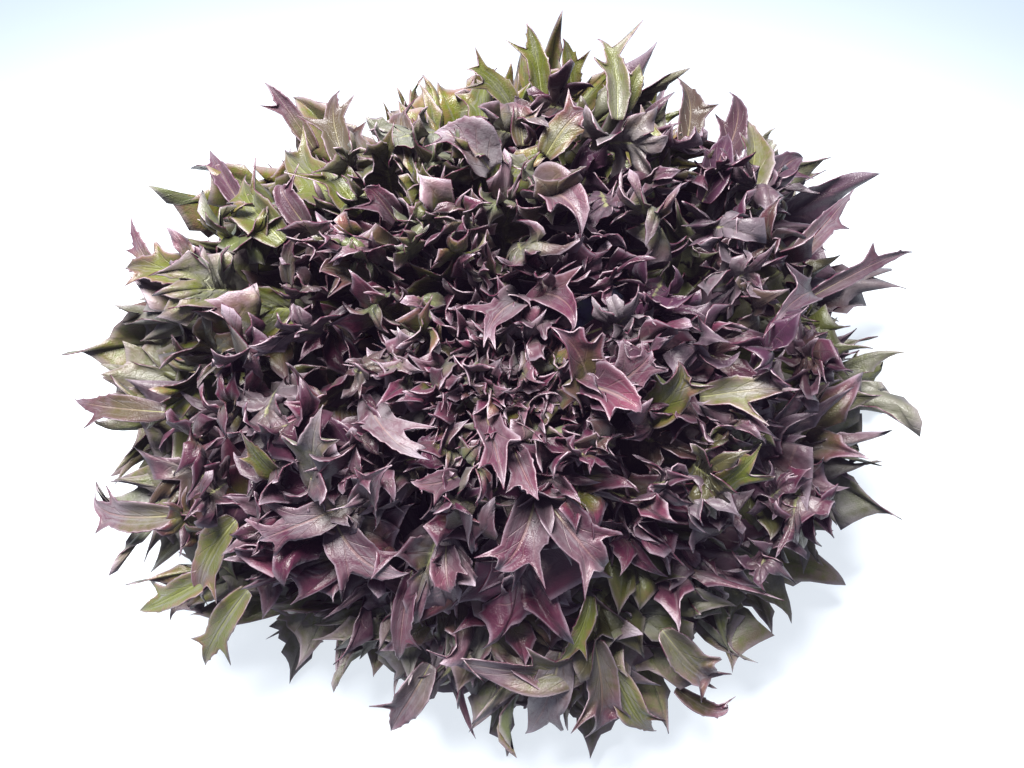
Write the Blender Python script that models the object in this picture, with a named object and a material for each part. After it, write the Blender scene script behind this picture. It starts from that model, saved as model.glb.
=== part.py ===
"""Red leaf lettuce, cut and standing on its stump, with its crown turned a little to the front.

Three whorls of separate outer leaves stand round the stump, one above the other. Above them the
inner leaves spiral up to the heart and are grown together with the packed middle of the head.
Axes: +X right, -Y front, +Z up. The origin is the middle of the stump's cut face.
"""

import math

import bmesh
import bpy
import numpy as np
from mathutils.bvhtree import BVHTree

# Driving sizes in metres
STUMP_RADIUS = 0.0145
STUMP_HEIGHT = 0.0205
STUMP_ROUNDING = 0.0012
HEAD_RADIUS = 0.104        # from the axis to where the widest midribs end
CROWN_HEIGHT = 0.128       # where the midribs of the heart end
SHOULDER_HEIGHT = 0.052    # where the head is widest
OUTER_LOBE = 0.036         # length of a lobe on an outer leaf
HEART_LOBE = 0.012         # and on the innermost leaf
BLADE_THICKNESS = 0.0009
RIB_THICKNESS = 0.0030     # of an outer leaf's midrib at its root
ROOT_GAP = 0.0009          # from the stump to the outer leaves' roots
STOREY_MARGIN = 0.0016     # kept clear above and below each whorl
WEDGE_MARGIN = 0.0012      # kept clear on both sides of each outer leaf
SAME_POINT = 0.00002       # points closer than this are one

# How many leaves, and how they are drawn
WHORLS = 3
LEAVES_IN_WHORL = 8
OUTER_LOBES = 3            # lobes on each side of an outer leaf
HEAD_LEAVES = 60
HEAD_LOBES = 2             # lobes on each side of a leaf of the head
GOLDEN_ANGLE = math.radians(137.508)
OUTER_SEED = 100
HEAD_SEED = 500
CURLS = (1.0, 1.0, 1.0, 0.8, 0.8, 0.6, 0.6, 0.4, 0.2, 0.0)   # tried in turn until a leaf is clear

# Surfaces that part the whorls: height at the axis and rise out to HEAD_RADIUS, lowest first
STOREY_BASE = (0.0016, 0.0068, 0.0112, 0.0165)
STOREY_RISE = (0.0000, 0.0130, 0.0290, 0.0460)
STOREY_BEND = 1.25

# The packed middle of the head: radius and height, from its foot to its top
CORE_OUTLINE = ((0.0, 0.0212), (0.0145, 0.0220), (0.030, 0.0290), (0.045, 0.0370), (0.055, 0.046),
                (0.058, 0.057), (0.054, 0.070), (0.042, 0.084), (0.022, 0.094), (0.0, 0.097))
CORE_SIDES = 14

# The outline round the head, beside its mean radius, from +X round to the left
REACH = (1.12, 1.14, 1.00, 0.97, 0.95, 1.04, 1.11, 1.12, 0.90, 0.97, 0.99, 1.04)
REACH_STEP = math.radians(30)
BACK_LIFT = 0.42           # how much higher the back stands, and lower the front
LEAN = 0.22                # how far the crown moves to the front, for each metre of height

# A leaf, as shares of its midrib's length
STALK_SHARE = 0.36         # the part below the first lobe
RIB_SHARE = 0.80           # the midrib ends here, and the end lobe goes on
STALK_WIDTH = 0.24         # beside the length of a lobe

# A lobe, from its least to its greatest
LOBE_LENGTHS = (0.72, 1.22)        # beside the leaf's mean lobe
NOTCH_SHARES = (0.26, 0.38)        # how far from the midrib the notches reach
HALF_WIDTHS = (0.116, 0.181)       # beside the lobe's length
CUPS = (0.65, 1.10)                # how far the lobe's sides turn up
LOBE_ANGLES = (70.0, 34.0)         # from the midrib, at the first lobe and the last, in degrees

# Bends of a lobe in radians: the mean and the spread
ANGLE_SPREAD = math.radians(8)
LIFT = (0.15, 0.35)                # up at the notches
DROOP = (-0.6, 0.8)                # down towards the tip
SWERVE = (0.15, 0.45)              # sideways towards the tip
TWIST = (0.0, 0.7)


def unit(vectors):
    return vectors / np.linalg.norm(vectors, axis=-1, keepdims=True)


def ease(x):
    x = np.clip(x, 0.0, 1.0)
    return x * x * (3.0 - 2.0 * x)


def blend(a, b, share):
    return a + (b - a) * share


def follow(line, run, places):
    """Reads a line of vectors at the given places along it."""
    return np.stack([np.interp(places, run, line[:, k]) for k in range(3)], -1)


def bezier(p0, p1, p2, p3, steps):
    t = np.linspace(0.0, 1.0, steps)[:, None]
    return (1 - t)**3 * p0 + 3 * (1 - t)**2 * t * p1 + 3 * (1 - t) * t * t * p2 + t**3 * p3


# The shape of the whole head


def storey_height(level, radius):
    """Height of the surface below whorl number level, or below the head for the last one."""
    return STOREY_BASE[level] + STOREY_RISE[level] * (radius / HEAD_RADIUS)**STOREY_BEND


def reach(angle):
    """The outline's radius round the head, beside its mean."""
    table = np.array(REACH)
    place = np.mod(angle / REACH_STEP, len(table))
    index = np.floor(place).astype(int)
    return blend(table[index % len(table)], table[(index + 1) % len(table)], ease(place - index))


def settle(points):
    """Gives the even head its outline, its high back and its crown turned to the front."""
    x, y, z = points[..., 0], points[..., 1], points[..., 2]
    outward = ease((np.hypot(x, y) - 1.15 * STUMP_RADIUS) / (0.5 * HEAD_RADIUS))
    stretch = 1.0 + outward * (reach(np.arctan2(y, x)) - 1.0)
    x, y = x * stretch, y * stretch
    z = z * (1.0 + BACK_LIFT * outward * y / HEAD_RADIUS)
    rise = np.maximum(z - STUMP_HEIGHT, 0.0)
    return np.stack([x, y - LEAN * rise**2 / (rise + STUMP_HEIGHT), z], -1)


def into_storey(points, level, azimuth):
    """Keeps an outer leaf between its storey's surfaces and inside its own wedge."""
    x, y, z = points[..., 0], points[..., 1], points[..., 2]
    radius = np.hypot(x, y)
    turn = np.mod(np.arctan2(y, x) - azimuth + math.pi, math.tau) - math.pi
    wedge = math.pi / LEAVES_IN_WHORL - WEDGE_MARGIN / radius
    angle = azimuth + wedge * np.tanh(turn / wedge)
    low, high = storey_height(level, radius), storey_height(level + 1, radius)
    middle, room = (low + high) / 2, (high - low) / 2 - STOREY_MARGIN
    z = middle + room * np.tanh((z - middle) / room)
    return np.stack([radius * np.cos(angle), radius * np.sin(angle), z], -1)


def above_storeys(points):
    """Keeps the head's leaves clear above the top whorl."""
    softness = 0.004
    floor = storey_height(WHORLS, np.hypot(points[..., 0], points[..., 1])) + BLADE_THICKNESS
    above = points[..., 2] - floor
    lifted = floor + 0.5 * (above + np.sqrt(above * above + softness * softness))
    return np.concatenate([points[..., :2], lifted[..., None]], -1)


# A leaf as a sheet of points


class Rib:
    """A midrib: its line, and the ways along it, across the blade and out of its upper face."""

    def __init__(self, profile, azimuth, sway, roll):
        share = np.linspace(0.0, 1.0, len(profile))
        angle = azimuth + sway * share**2
        outward = np.stack([np.cos(angle), np.sin(angle), 0 * angle], 1)
        sideways = np.stack([-np.sin(angle), np.cos(angle), 0 * angle], 1)
        self.radius = profile[:, 0]
        self.points = outward * profile[:, :1] + np.array([0, 0, 1]) * profile[:, 1:]
        steps = np.linalg.norm(np.diff(self.points, axis=0), axis=1)
        self.run = np.concatenate([[0.0], np.cumsum(steps)])
        self.length = self.run[-1]
        self.along = unit(np.gradient(self.points, axis=0))
        sideways = unit(sideways - (sideways * self.along).sum(1, keepdims=True) * self.along)
        upper = np.cross(self.along, sideways)
        middle = len(profile) // 2
        if np.dot(upper[middle], np.array([0, 0, 1]) - outward[middle]) < 0:
            upper = -upper
        turn = (roll * share**1.5)[:, None]
        self.across = sideways * np.cos(turn) + upper * np.sin(turn)
        self.upper = upper * np.cos(turn) - sideways * np.sin(turn)

    def at(self, share):
        """Point, along, across, upper and radius at a share of the length."""
        run = np.asarray(share) * self.length
        point = follow(self.points, self.run, run)
        along = unit(follow(self.along, self.run, run))
        across = unit(follow(self.across, self.run, run))
        upper = unit(follow(self.upper, self.run, run))
        return point, along, across, upper, np.interp(run, self.run, self.radius)


class Lobe:
    """A pointed lobe's size, its angle from the midrib and its bends."""

    def __init__(self, length, angle, even, normal, curl):
        self.length = length * blend(*LOBE_LENGTHS, even[0])
        self.notch = self.length * blend(*NOTCH_SHARES, even[1])
        self.width = self.length * blend(*HALF_WIDTHS, even[2])
        self.cup = blend(*CUPS, even[3])
        self.angle = angle + curl * ANGLE_SPREAD * normal[0]
        self.lift = curl * (LIFT[0] + LIFT[1] * normal[1])
        self.droop = curl * (DROOP[0] + DROOP[1] * normal[2])
        self.swerve = curl * (SWERVE[0] + SWERVE[1] * normal[3])
        self.twist = curl * (TWIST[0] + TWIST[1] * normal[4])

    def outline(self, half_gap, share):
        """Distance out and half width, from the notch (0) to the tip (1)."""
        out = blend(self.notch, self.length, share)
        shoulder = np.abs(np.sin(math.pi * share**0.55))**0.85 * (1 - 0.35 * share)
        half = half_gap * (1 - share)**3 + self.width * shoulder
        return out, half * (1 - share**6)

    def axis(self, along, across, upper, wrap):
        """The lobe's curved middle line from the midrib, and its ways across and upward."""
        out = np.linspace(0.0, self.length * 1.001, 24)
        share, first = out / self.length, self.notch / self.length
        pitch = self.lift * ease((share - 0.3 * first) * 2.4) + wrap * out
        pitch = pitch + self.droop * np.maximum(share - 0.6 * first, 0)**1.6
        yaw = self.swerve * np.maximum(share - 0.4 * first, 0)**1.4
        turn = (self.twist * np.maximum(share - 0.5 * first, 0)**1.2)[:, None]
        cos_yaw, sin_yaw = np.cos(yaw)[:, None], np.sin(yaw)[:, None]
        cos_pitch, sin_pitch = np.cos(pitch)[:, None], np.sin(pitch)[:, None]
        level = cos_yaw * along + sin_yaw * across
        heading = cos_pitch * level + sin_pitch * upper
        side = cos_yaw * across - sin_yaw * along
        top = cos_pitch * upper - sin_pitch * level
        steps = np.diff(out)[:, None] * (heading[1:] + heading[:-1]) / 2
        line = np.concatenate([np.zeros((1, 3)), np.cumsum(steps, 0)])
        cos_turn, sin_turn = np.cos(turn), np.sin(turn)
        return out, line, side * cos_turn + top * sin_turn, top * cos_turn - side * sin_turn


def lobe_sheet(lobe, origin, ways, base, half_gaps, wrap, lines, rows):
    """Points of one lobe: lines from the midrib to the edge, in rows out from the midrib."""
    gap_on_rib, gap_at_notch = half_gaps
    x = np.linspace(-1.0, 1.0, lines)
    v = np.linspace(0.0, 1.0, rows)[None, :]
    out, half = lobe.outline(gap_at_notch, 1.0 - np.abs(x))
    distance = out[:, None] * v
    offset = blend((x * gap_on_rib)[:, None], (np.sign(x) * half)[:, None], v)
    run, line, side, top = lobe.axis(*ways, wrap)
    fold = lobe.cup * ease(distance / (lobe.notch * 1.4)) * np.abs(offset)**1.3 * lobe.width**-0.3
    points = origin + follow(line, run, distance)
    points = points + offset[..., None] * follow(side, run, distance)
    points = points + fold[..., None] * follow(top, run, distance)
    return points + (base[:, None, :] - points[:, :1, :]) * ((1 - v)**2)[..., None]


def stalk_sheet(rib, side, width, lines, rows):
    """Points of one side of the stalk, which widens into the first lobe."""
    share = np.linspace(0.0, STALK_SHARE, lines)
    v = np.linspace(0.0, 1.0, rows)[None, :]
    point, _, across, upper, _ = rib.at(share)
    half = width * (blend(0.55, 0.40, ease(share / 0.16)) + 0.9 * (share / STALK_SHARE)**3)
    offset = half[:, None] * v
    sheet = point[:, None, :] + side * offset[..., None] * across[:, None, :]
    return sheet + (0.35 * offset * v)[..., None] * upper[:, None, :]


def side_lobe_sheet(rib, side, rank, bounds, length, draws, lines, rows):
    """Points of the lobe that grows from the midrib between two bounds."""
    even, normal, curl = draws
    middle, half = (bounds[0] + bounds[1]) / 2, (bounds[1] - bounds[0]) / 2
    swell = 0.66 + 0.40 * math.sin(math.pi * (0.15 + 0.62 * rank))
    lobe = Lobe(length * swell, math.radians(blend(*LOBE_ANGLES, rank)), even, normal, curl)
    origin, along, across, upper, radius = rib.at(middle)
    cos_angle, sin_angle = math.cos(lobe.angle), math.sin(lobe.angle)
    heading = cos_angle * along + sin_angle * side * across
    beside = sin_angle * along - cos_angle * side * across
    gap = half * rib.length * sin_angle
    base = rib.at(middle + np.linspace(-half, half, lines))[0]
    wrap = 0.6 / max(float(radius), 0.02)
    return lobe_sheet(lobe, origin, (heading, beside, upper), base, (gap, gap), wrap, lines, rows)


def end_lobe_sheet(rib, length, draws, lines, rows):
    """Points of the lobe at the leaf's end, which fans out from the end of the midrib."""
    even, normal, curl = draws
    lobe = Lobe(length * 1.15, 0.0, even, normal, 0.5 * curl)
    lobe.notch = lobe.length * 0.20
    origin, along, across, upper, _ = rib.at(RIB_SHARE)
    base = np.repeat(origin[None, :], lines, 0)
    gaps = (0.0, 0.08 * lobe.length)
    return lobe_sheet(lobe, origin, (along, -across, upper), base, gaps, 0.0, lines, rows)


def join_sheets(sheets):
    """Joins the sheets line to line, drawing each pair of borders together."""
    for before, after in zip(sheets[:-1], sheets[1:]):
        border = (before[-1] + after[0]) / 2
        before += ease(np.linspace(-1, 1, len(before)))[:, None, None] * (border - before[-1])
        after += ease(np.linspace(1, -1, len(after)))[:, None, None] * (border - after[0])
    return np.concatenate([sheets[0]] + [sheet[1:] for sheet in sheets[1:]])


def leaf_sheet(rib, lobes, length, seed, curl, lines, stalk_lines):
    """Points of a whole leaf, round its edge from the root's left side to its right side."""
    rows = 2
    draw = np.random.default_rng(seed)
    even, normal = draw.random((2 * lobes + 1, 4)), draw.normal(size=(2 * lobes + 1, 5))
    bounds = blend(STALK_SHARE, RIB_SHARE, np.linspace(0, 1, lobes + 1)**0.95)
    left = [stalk_sheet(rib, 1.0, STALK_WIDTH * length, stalk_lines, rows)]
    right = [stalk_sheet(rib, -1.0, STALK_WIDTH * length, stalk_lines, rows)]
    for i in range(lobes):
        rank, between = (i + 0.5) / lobes, (bounds[i], bounds[i + 1])
        left_draws = (even[i], normal[i], curl)
        right_draws = (even[lobes + i], normal[lobes + i], curl)
        left.append(side_lobe_sheet(rib, 1.0, rank, between, length, left_draws, lines, rows))
        right.append(side_lobe_sheet(rib, -1.0, rank, between, length, right_draws, lines, rows))
    end = end_lobe_sheet(rib, length, (even[-1], normal[-1], curl), lines, rows)
    return join_sheets(left + [end] + [sheet[::-1] for sheet in right[::-1]])


# A leaf as a solid


def leaf_object(name, points, stalk_end, rib_thickness):
    """A leaf as a thin solid: its sheet of points in triangles, thickened most at the root."""
    lines, rows = points.shape[0] - 1, points.shape[1] - 1
    bm = bmesh.new()
    bmesh.ops.create_grid(bm, x_segments=lines, y_segments=rows, size=1.0)
    weights = bm.verts.layers.deform.verify()
    for vertex in bm.verts:
        i = round((vertex.co.x + 1) / 2 * lines)
        j = round((vertex.co.y + 1) / 2 * rows)
        vertex.co = points[i, j]
        from_root = min(i, lines - i)
        vertex[weights][0] = max(0.0, 1.0 - from_root / stalk_end) if j == 0 else 0.0
    bmesh.ops.remove_doubles(bm, verts=bm.verts, dist=SAME_POINT)
    bmesh.ops.triangulate(bm, faces=bm.faces)
    mesh = bpy.data.meshes.new(name)
    bm.to_mesh(mesh)
    bm.free()
    leaf = bpy.data.objects.new(name, mesh)
    leaf.vertex_groups.new(name="rib")
    thicken = leaf.modifiers.new("Thickness", "SOLIDIFY")
    thicken.thickness = rib_thickness
    thicken.offset = 0.0
    thicken.vertex_group = "rib"
    thicken.thickness_vertex_group = BLADE_THICKNESS / rib_thickness
    return leaf


def solid_tree(leaf):
    """Search tree of a leaf's finished solid, with its faces' corners."""
    evaluated = leaf.evaluated_get(bpy.context.evaluated_depsgraph_get())
    mesh = evaluated.to_mesh()
    corners = [tuple(face.vertices) for face in mesh.polygons]
    tree = BVHTree.FromPolygons([vertex.co.copy() for vertex in mesh.vertices], corners)
    evaluated.to_mesh_clear()
    return tree, corners


def crosses_itself(tree, corners):
    return any(not set(corners[a]) & set(corners[b]) for a, b in tree.overlap(tree))


def place_leaf(collection, make, neighbours):
    """Adds a leaf, redrawn with less and less curl while it crosses itself or a neighbour."""
    for attempt, curl in enumerate(CURLS):
        leaf = make(curl, attempt)
        collection.objects.link(leaf)
        tree, corners = solid_tree(leaf)
        if not crosses_itself(tree, corners) and not any(tree.overlap(other) for other in neighbours):
            return leaf, tree
        bpy.data.objects.remove(leaf)
    raise RuntimeError("a leaf finds no clear place")


def outer_leaf(name, whorl, place, curl, attempt):
    """One leaf of the outer whorls, lying in its own storey and wedge."""
    number = whorl * LEAVES_IN_WHORL + place
    azimuth = math.tau * (place + whorl / WHORLS) / LEAVES_IN_WHORL
    draw = np.random.default_rng(OUTER_SEED + number)
    end = HEAD_RADIUS * (0.93 + 0.10 * draw.random())
    radius = np.linspace(STUMP_RADIUS + ROOT_GAP, end, 41)
    height = (storey_height(whorl, radius) + storey_height(whorl + 1, radius)) / 2
    sway, roll = curl * np.array([0.10, 0.25]) * draw.normal(size=2)
    rib = Rib(np.stack([radius, height], 1), azimuth, sway, roll)
    points = leaf_sheet(rib, OUTER_LOBES, OUTER_LOBE, (OUTER_SEED, number, attempt), curl, 5, 3)
    return leaf_object(name, settle(into_storey(points, whorl, azimuth)), 8, RIB_THICKNESS)


def head_profile(rank):
    """Radius and height along the midrib of a head leaf, from 0 at the heart to 1 outside."""
    polar = math.radians(2 + 92 * rank**0.68)
    root = np.array([0.003 + 0.013 * rank, blend(0.074, 0.027, rank)])
    dome = CROWN_HEIGHT - SHOULDER_HEIGHT
    end = np.array([HEAD_RADIUS * math.sin(polar), SHOULDER_HEIGHT + dome * math.cos(polar)])
    leave, arrive = math.radians(6 + 60 * rank), math.radians(-12 + 112 * rank**0.8)
    span = np.linalg.norm(end - root)
    out = root + 0.40 * span * np.array([math.sin(leave), math.cos(leave)])
    back = end - 0.34 * span * np.array([math.sin(arrive), math.cos(arrive)])
    return bezier(root, out, back, end, 41)


def head_leaf(name, number, curl, attempt):
    """One leaf of the head, from its packed middle out to the crown."""
    rank = (number + 0.5) / HEAD_LEAVES
    draw = np.random.default_rng(HEAD_SEED + number)
    sway, roll = curl * np.array([0.12, 0.35]) * draw.normal(size=2)
    rib = Rib(head_profile(rank), number * GOLDEN_ANGLE, sway, roll)
    length = blend(HEART_LOBE, OUTER_LOBE, rank**0.85)
    lines = 5 if rank > 0.6 else 3
    points = leaf_sheet(rib, HEAD_LOBES, length, (HEAD_SEED, number, attempt), curl, lines, 2)
    thickness = max(RIB_THICKNESS * length / OUTER_LOBE, 1.3 * BLADE_THICKNESS)
    return leaf_object(name, settle(above_storeys(points)), 4, thickness)


# The packed middle and the stump


def head_core(name):
    """The packed middle of the head, which the leaves grow out of."""
    bm = bmesh.new()
    verts = [bm.verts.new((radius, 0.0, height)) for radius, height in CORE_OUTLINE]
    edges = [bm.edges.new(pair) for pair in zip(verts[:-1], verts[1:])]
    bmesh.ops.spin(bm, geom=verts + edges, cent=(0, 0, 0), axis=(0, 0, 1), angle=math.tau,
                   steps=CORE_SIDES, use_merge=True)
    bmesh.ops.remove_doubles(bm, verts=bm.verts, dist=SAME_POINT)
    bmesh.ops.triangulate(bm, faces=bm.faces)
    bmesh.ops.recalc_face_normals(bm, faces=bm.faces)
    for vertex in bm.verts:
        vertex.co = settle(np.array(vertex.co))
    mesh = bpy.data.meshes.new(name)
    bm.to_mesh(mesh)
    bm.free()
    return bpy.data.objects.new(name, mesh)


def grow_together(body, collection):
    """Joins a collection's leaves to the body as one solid, and drops loose scraps and hollows."""
    union = body.modifiers.new("Union", "BOOLEAN")
    union.operation = "UNION"
    union.operand_type = "COLLECTION"
    union.collection = collection
    union.solver = "MANIFOLD"
    graph = bpy.context.evaluated_depsgraph_get()
    joined = bpy.data.meshes.new_from_object(body.evaluated_get(graph))
    body.modifiers.clear()
    body.data = joined
    for leaf in list(collection.objects):
        bpy.data.objects.remove(leaf)
    bpy.data.collections.remove(collection)
    keep_largest_body(joined)


def keep_largest_body(mesh):
    bm = bmesh.new()
    bm.from_mesh(mesh)
    bodies, seen = [], set()
    for start in bm.faces:
        if start in seen:
            continue
        body, waiting = {start}, [start]
        while waiting:
            face = waiting.pop()
            near = {other for edge in face.edges for other in edge.link_faces} - body
            body |= near
            waiting.extend(near)
        seen |= body
        bodies.append(body)
    largest = max(bodies, key=len)
    scraps = [face for face in bm.faces if face not in largest]
    bmesh.ops.delete(bm, geom=scraps, context="FACES")
    bm.to_mesh(mesh)
    bm.free()


def stump(name):
    """The cut stump: a short round stem that narrows to its cut face, with the edge rounded."""
    bm = bmesh.new()
    bmesh.ops.create_cone(bm, cap_ends=True, segments=28, radius1=0.93 * STUMP_RADIUS,
                          radius2=STUMP_RADIUS, depth=STUMP_HEIGHT)
    bmesh.ops.translate(bm, verts=bm.verts, vec=(0, 0, STUMP_HEIGHT / 2))
    rim = [edge for edge in bm.edges if max(vertex.co.z for vertex in edge.verts) < SAME_POINT]
    bmesh.ops.bevel(bm, geom=rim, offset=STUMP_ROUNDING, segments=2, profile=0.5, affect="EDGES",
                    material=-1)
    mesh = bpy.data.meshes.new(name)
    bm.to_mesh(mesh)
    bm.free()
    return bpy.data.objects.new(name, mesh)


def material(name, colour, roughness):
    made = bpy.data.materials.new(name)
    made.use_nodes = True
    shader = made.node_tree.nodes["Principled BSDF"]
    shader.inputs["Base Color"].default_value = (*colour, 1.0)
    shader.inputs["Roughness"].default_value = roughness
    shader.inputs["Metallic"].default_value = 0.0
    return made


# Build

for thing in list(bpy.data.objects):
    bpy.data.objects.remove(thing)

pieces = bpy.context.scene.collection
olive_leaf = material("olive_leaf", (0.16, 0.15, 0.10), 0.45)
red_leaf = material("red_leaf", (0.11, 0.04, 0.06), 0.42)
pale_stem = material("pale_stem", (0.55, 0.60, 0.38), 0.55)

cut_stem = stump("cut_stem")
cut_stem.data.materials.append(pale_stem)
pieces.objects.link(cut_stem)

outer_trees = []
for whorl in range(WHORLS):
    for place in range(LEAVES_IN_WHORL):
        name = "outer_leaf_%02d" % (whorl * LEAVES_IN_WHORL + place + 1)
        leaf, tree = place_leaf(pieces, lambda *bend: outer_leaf(name, whorl, place, *bend), outer_trees)
        leaf.data.materials.append(olive_leaf)
        outer_trees.append(tree)

inner_leaves = bpy.data.collections.new("inner leaves")
pieces.children.link(inner_leaves)
for number in range(HEAD_LEAVES):
    name = "inner_leaf_%02d" % (number + 1)
    place_leaf(inner_leaves, lambda *bend: head_leaf(name, number, *bend), outer_trees)

head = head_core("head_leaves")
pieces.objects.link(head)
grow_together(head, inner_leaves)
head.data.materials.clear()
head.data.materials.append(red_leaf)
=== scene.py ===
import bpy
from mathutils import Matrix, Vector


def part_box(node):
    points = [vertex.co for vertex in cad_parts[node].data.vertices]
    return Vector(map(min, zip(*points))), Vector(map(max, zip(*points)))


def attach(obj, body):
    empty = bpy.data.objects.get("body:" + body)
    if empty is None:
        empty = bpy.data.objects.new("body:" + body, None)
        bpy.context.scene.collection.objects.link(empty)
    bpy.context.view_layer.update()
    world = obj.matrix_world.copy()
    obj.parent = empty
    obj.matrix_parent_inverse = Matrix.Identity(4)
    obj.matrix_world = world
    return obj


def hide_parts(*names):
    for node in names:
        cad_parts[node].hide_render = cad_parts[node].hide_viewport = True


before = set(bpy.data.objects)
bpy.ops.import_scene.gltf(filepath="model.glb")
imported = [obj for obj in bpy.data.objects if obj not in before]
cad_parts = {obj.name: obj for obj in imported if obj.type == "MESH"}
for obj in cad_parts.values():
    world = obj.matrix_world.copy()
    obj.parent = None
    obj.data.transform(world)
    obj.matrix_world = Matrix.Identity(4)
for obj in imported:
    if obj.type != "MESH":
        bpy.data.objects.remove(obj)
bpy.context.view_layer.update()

import math
from types import SimpleNamespace

import bmesh
import bpy
import numpy as np
from mathutils import Vector

# The stump
# The short pale stem that every leaf grows from, cut flat below. It is ribbed where the lowest
# leaves were pulled off, and the cut has browned round its edge.

STUMP_SIDES = 96
STUMP_RIBS = 13
STUMP_RIB_DEPTH = 0.0004
STUMP_FOOT = ((0, 0.0003), (0.55, 0.0002), (0.90, 0), (0.935, 0.0003), (0.945, 0.0012),
              (0.955, 0.004), (0.975, 0.010))    # shares of the radius, and heights
STUMP_BLOTCHES = 420
STUMP_FIBRES = 2600
STUMP_RELIEF = 0.00025
SAME_POINT = 0.00002       # points closer than this are one
STUMP_CREAM = (0.50, 0.55, 0.30, 1)
STUMP_GREEN = (0.25, 0.36, 0.10, 1)
STUMP_BROWN = (0.24, 0.13, 0.05, 1)


class Field:
    """A number that changes over a surface. Arithmetic on it adds Math nodes."""

    def __init__(self, shader, socket):
        self.shader = shader
        self.socket = socket

    def maths(self, operation, *values):
        return self.shader.add("ShaderNodeMath", {"operation": operation}, dict(enumerate(values)))

    def __add__(self, other):
        return self.maths("ADD", self, other)

    def __sub__(self, other):
        return self.maths("SUBTRACT", self, other)

    def __rsub__(self, other):
        return self.maths("SUBTRACT", other, self)

    def __mul__(self, other):
        return self.maths("MULTIPLY", self, other)

    __radd__ = __add__
    __rmul__ = __mul__

    def ease(self, low, high):
        """0 at low and 1 at high, with a soft start and end."""
        return self.shader.add("ShaderNodeMapRange", {"interpolation_type": "SMOOTHSTEP"},
                               {"Value": self, "From Min": low, "From Max": high})

    def part(self, axis):
        """One axis of a vector."""
        return self.shader.add("ShaderNodeSeparateXYZ", {}, {"Vector": self}, axis)


class Finish:
    """A material whose look is worked out over the surface."""

    def __init__(self, name):
        self.material = bpy.data.materials.new(name)
        self.material.use_nodes = True
        self.tree = self.material.node_tree
        self.surface = self.tree.nodes["Principled BSDF"]
        self.place = self.add("ShaderNodeTexCoord", {}, {}, "Object")

    def add(self, kind, settings, sockets, output=0):
        """Adds a node with its settings, then its sockets' values or links."""
        made = self.tree.nodes.new(kind)
        for name, value in settings.items():
            setattr(made, name, value)
        for name, value in sockets.items():
            self.feed(made.inputs[name], value)
        return Field(self, made.outputs[output])

    def feed(self, socket, value):
        if isinstance(value, Field):
            self.tree.links.new(value.socket, socket)
        else:
            socket.default_value = value

    def vector(self, operation, *values, output=0):
        return self.add("ShaderNodeVectorMath", {"operation": operation}, dict(enumerate(values)), output)

    def noise(self, scale, detail=2.0, roughness=0.5):
        return self.add("ShaderNodeTexNoise", {}, {"Vector": self.place, "Scale": scale,
                                                  "Detail": detail, "Roughness": roughness})

    def mix(self, first, second, share):
        return self.add("ShaderNodeMix", {"data_type": "RGBA"}, {0: share, 6: first, 7: second}, 2)

    def fix(self, values):
        """Sets what is the same all over the surface."""
        for name, value in values.items():
            self.surface.inputs[name].default_value = value

    def dress(self, colour, roughness, height, depth):
        """Sets the colour, the roughness and the relief, which is depth metres where height is 1."""
        self.feed(self.surface.inputs["Base Color"], colour)
        self.feed(self.surface.inputs["Roughness"], roughness)
        bump = self.add("ShaderNodeBump", {}, {"Height": height, "Distance": depth, "Strength": 1.0})
        self.feed(self.surface.inputs["Normal"], bump)
        return self.material


def stump_finish():
    finish = Finish("cut stem")
    height = finish.place.part(2)
    round_stem = finish.vector("LENGTH", finish.vector("MULTIPLY", finish.place, (1, 1, 0)), output="Value")
    blotch = finish.noise(STUMP_BLOTCHES, 4)
    fibre = finish.noise(STUMP_FIBRES, 2)
    colour = finish.mix(STUMP_CREAM, STUMP_GREEN, height.ease(0.002, 0.018))
    browned = round_stem.ease(0.010, 0.0135) * (1 - height.ease(0.0004, 0.0022)) + 0.5 * blotch - 0.22
    colour = finish.mix(colour, STUMP_BROWN, browned.ease(0.1, 1.0))
    return finish.dress(colour, 0.42 + 0.25 * blotch, fibre + 2 * blotch, STUMP_RELIEF)


def turned(outline, sides):
    """A closed form turned round the head's axis from radii and heights."""
    bm = bmesh.new()
    verts = [bm.verts.new((radius, 0, height)) for radius, height in outline]
    edges = [bm.edges.new(pair) for pair in zip(verts[:-1], verts[1:])]
    bmesh.ops.spin(bm, geom=verts + edges, axis=(0, 0, 1), angle=math.tau, steps=sides, use_merge=True)
    bmesh.ops.remove_doubles(bm, verts=bm.verts, dist=SAME_POINT)
    bmesh.ops.recalc_face_normals(bm, faces=bm.faces)
    return bm


def placed(name, bm, materials):
    """Turns a finished mesh into an object of the scene."""
    mesh = bpy.data.meshes.new(name)
    bm.to_mesh(mesh)
    bm.free()
    for material in materials:
        mesh.materials.append(material)
    mesh.shade_smooth()
    piece = bpy.data.objects.new(name, mesh)
    bpy.context.scene.collection.objects.link(piece)
    return piece


def stump(name):
    """A turned stem with a rounded foot, ribbed round its side."""
    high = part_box("cut_stem")[1]
    radius, top = high.x - STUMP_RIB_DEPTH, high.z
    outline = STUMP_FOOT + ((1.0, top - 0.001), (0.96, top), (0, top))
    bm = turned([(share * radius, height) for share, height in outline], STUMP_SIDES)
    for vertex in bm.verts:
        angle = math.atan2(vertex.co.y, vertex.co.x)
        rib = STUMP_RIB_DEPTH * math.cos(STUMP_RIBS * angle) * vertex.co.xy.length / radius
        vertex.co.xy *= 1 + rib / radius
    return placed(name, bm, [stump_finish()])


stem = stump("cut_stump")
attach(stem, "root")
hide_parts("cut_stem")

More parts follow.
